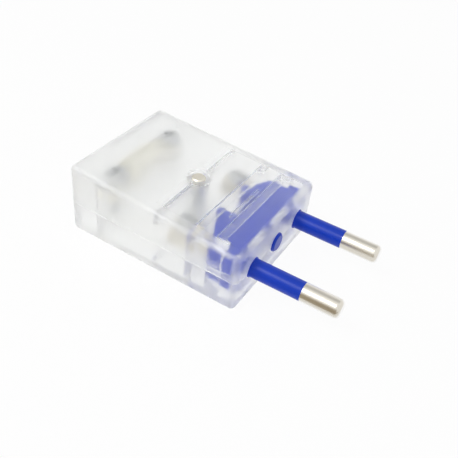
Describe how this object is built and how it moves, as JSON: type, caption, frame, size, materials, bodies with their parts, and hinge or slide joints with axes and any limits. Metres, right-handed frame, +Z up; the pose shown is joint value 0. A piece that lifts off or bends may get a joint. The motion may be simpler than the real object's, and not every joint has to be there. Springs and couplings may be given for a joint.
{
  "type": "two-pin plug",
  "caption": "Flat rewirable mains plug: clear split case, blue pin carrier with sleeved round pins, inner screw terminals and a cord clamp.",
  "frame": {"origin": "centre of the front face that meets the socket, midway between the two pins and on their axes", "axes": "+X along the pins towards their tips, +Y across the pins, +Z up from the flat base to the sloping roof"},
  "size_m": [0.0602, 0.032, 0.0164],
  "materials": {
    "clear_case": "clear moulded plastic, gloss outside",
    "blue_plastic": "smooth royal blue moulding",
    "nickel_plate": "bright nickel plate",
    "insert_brass": "pale turned brass",
    "screw_steel": "zinc-plated steel",
    "cream_plastic": "satin cream moulding"
  },
  "bodies": {
    "root": {"upper_shell": "clear_case", "lower_shell": "clear_case", "pin_carrier": "blue_plastic", "left_contact_pin": "nickel_plate", "right_contact_pin": "nickel_plate", "left_terminal_screw": "screw_steel", "right_terminal_screw": "screw_steel", "threaded_insert": "insert_brass", "case_screw": "screw_steel", "cord_clamp": "cream_plastic", "left_clamp_screw": "screw_steel", "right_clamp_screw": "screw_steel"}
  },
  "joints": []
}
